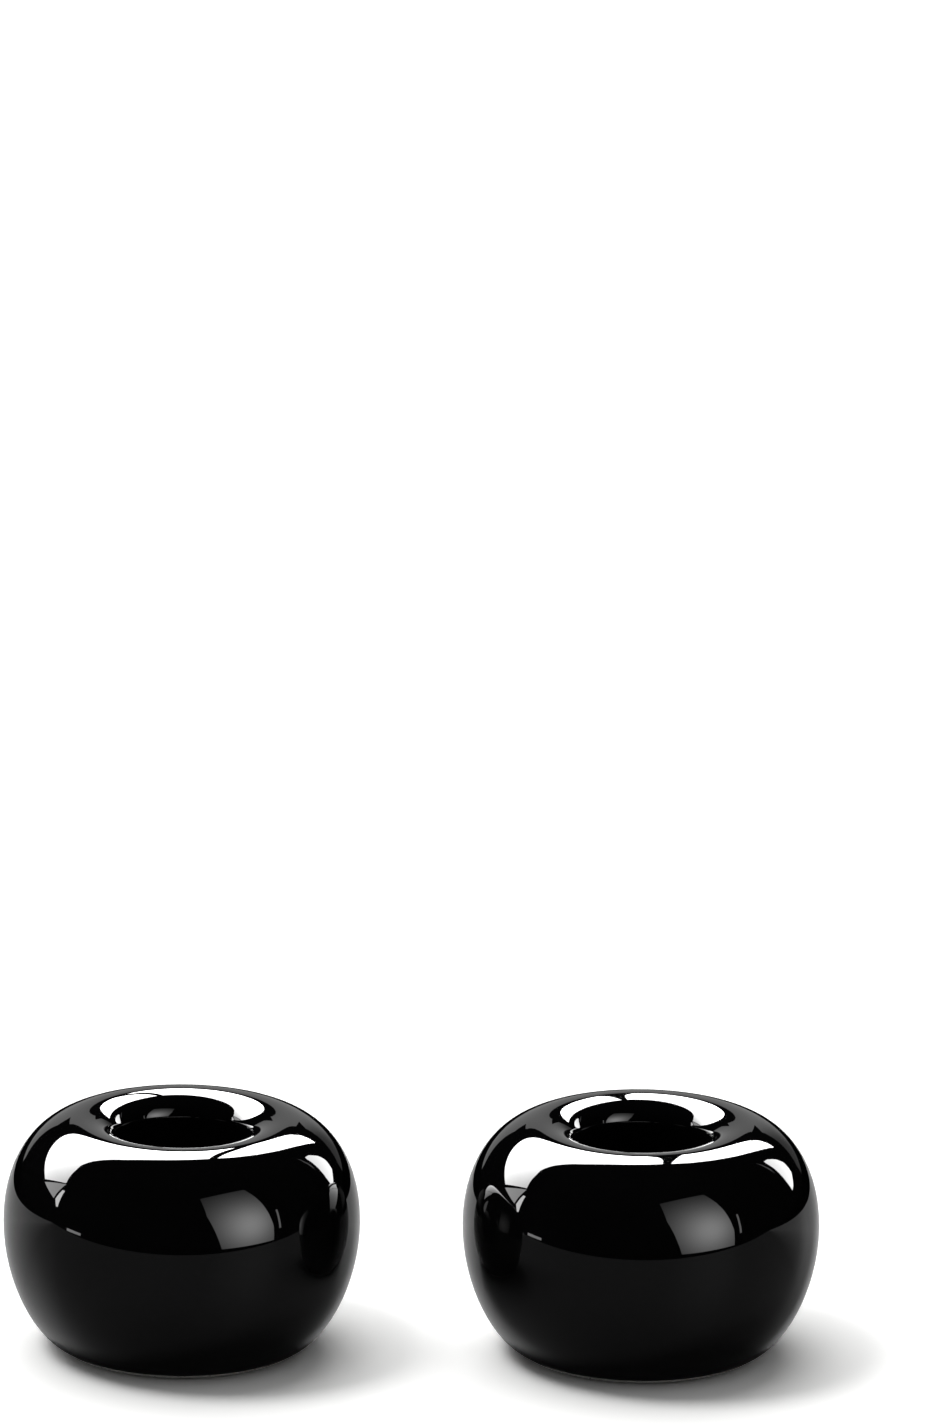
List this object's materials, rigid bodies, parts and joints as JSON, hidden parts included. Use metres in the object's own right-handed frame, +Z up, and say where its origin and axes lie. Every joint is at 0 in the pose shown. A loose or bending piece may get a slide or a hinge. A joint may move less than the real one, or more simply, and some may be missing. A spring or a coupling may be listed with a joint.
{
  "type": "toothbrush holder",
  "caption": "Matched free-standing toothbrush holders: squat rounded rings of black glazed stoneware, each with an upright well and a soft foot pad.",
  "frame": {"origin": "on the counter under the pair, midway between the two holders", "axes": "+X from the left holder to the right one, +Y away from the viewer of the picture, +Z up"},
  "size_m": [0.1142, 0.05, 0.0328],
  "materials": {
    "stoneware": "bare fired stoneware, fine grit, matt",
    "black_glaze": "glossy black glaze, mirror smooth",
    "adhesive_film": "thin double-sided adhesive film",
    "pad_rubber": "die-cut black rubber sheet, matt"
  },
  "bodies": {
    "left_holder": {"left_stoneware_body": "stoneware", "left_glaze_coat": "black_glaze", "left_pad_adhesive": "adhesive_film", "left_foot_pad": "pad_rubber"},
    "right_holder": {"right_stoneware_body": "stoneware", "right_glaze_coat": "black_glaze", "right_pad_adhesive": "adhesive_film", "right_foot_pad": "pad_rubber"}
  },
  "joints": [
    {"name": "right_holder_lift", "type": "slide", "parent": "left_holder", "child": "right_holder", "axis": [0, 0, 1], "range_m": [0, 0.06]}
  ]
}
